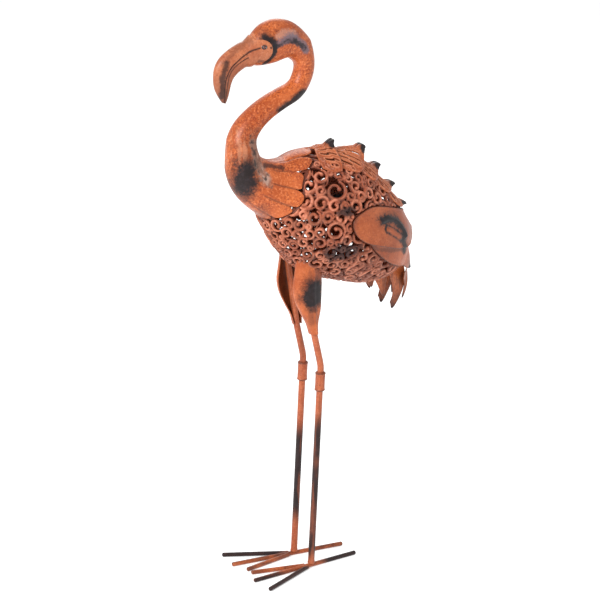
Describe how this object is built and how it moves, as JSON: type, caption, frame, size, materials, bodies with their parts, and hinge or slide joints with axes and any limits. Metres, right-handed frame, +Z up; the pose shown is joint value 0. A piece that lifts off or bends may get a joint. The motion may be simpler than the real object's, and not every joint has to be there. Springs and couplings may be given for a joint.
{
  "type": "garden flamingo figure",
  "caption": "Standing sheet-metal flamingo garden figure with an openwork scroll body, a curved neck, rod legs and wire feet",
  "frame": {"origin": "on the floor plane, under the middle of the whole box", "axes": "+Z up, the bird looks along -X, its left side is toward -Y"},
  "size_m": [0.3318, 0.153, 0.853],
  "materials": {
    "neck": "coral paint with fine dark speckle, semi-gloss",
    "face": "coral paint rubbed with dark brown, semi-gloss",
    "dark": "black patina paint, semi-gloss",
    "body": "coral paint over stamped sheet, semi-gloss",
    "feather": "coral paint with black rubbed tips",
    "thigh": "coral paint with a black patch",
    "leg": "coral paint fading to dark brown",
    "foot": "dark brown paint over coral"
  },
  "bodies": {
    "root": {"head_neck": "neck", "beak": "face", "eye_left": "dark", "body_shell_left": "body", "back_feather_1_left": "feather", "back_feather_2_left": "feather", "back_feather_3_left": "feather", "back_feather_4_left": "feather", "back_feather_5_left": "feather", "rump_plate_upper_left": "body", "rump_plate_lower_left": "body", "tail_feather_long_left": "feather", "tail_feather_rear_left": "feather", "tail_feather_middle_left": "feather", "tail_feather_short_left": "feather", "thigh_left": "thigh", "leg_upper_left": "leg", "leg_lower_left": "leg", "knee_sleeve_left": "leg", "toe_long_left": "foot", "toe_outer_left": "foot", "toe_inner_left": "foot", "eye_right": "dark", "body_shell_right": "body", "back_feather_1_right": "feather", "back_feather_2_right": "feather", "back_feather_3_right": "feather", "back_feather_4_right": "feather", "back_feather_5_right": "feather", "rump_plate_upper_right": "body", "rump_plate_lower_right": "body", "tail_feather_long_right": "feather", "tail_feather_rear_right": "feather", "tail_feather_middle_right": "feather", "tail_feather_short_right": "feather", "thigh_right": "thigh", "leg_upper_right": "leg", "leg_lower_right": "leg", "knee_sleeve_right": "leg", "toe_long_right": "foot", "toe_outer_right": "foot", "toe_inner_right": "foot"}
  },
  "joints": []
}
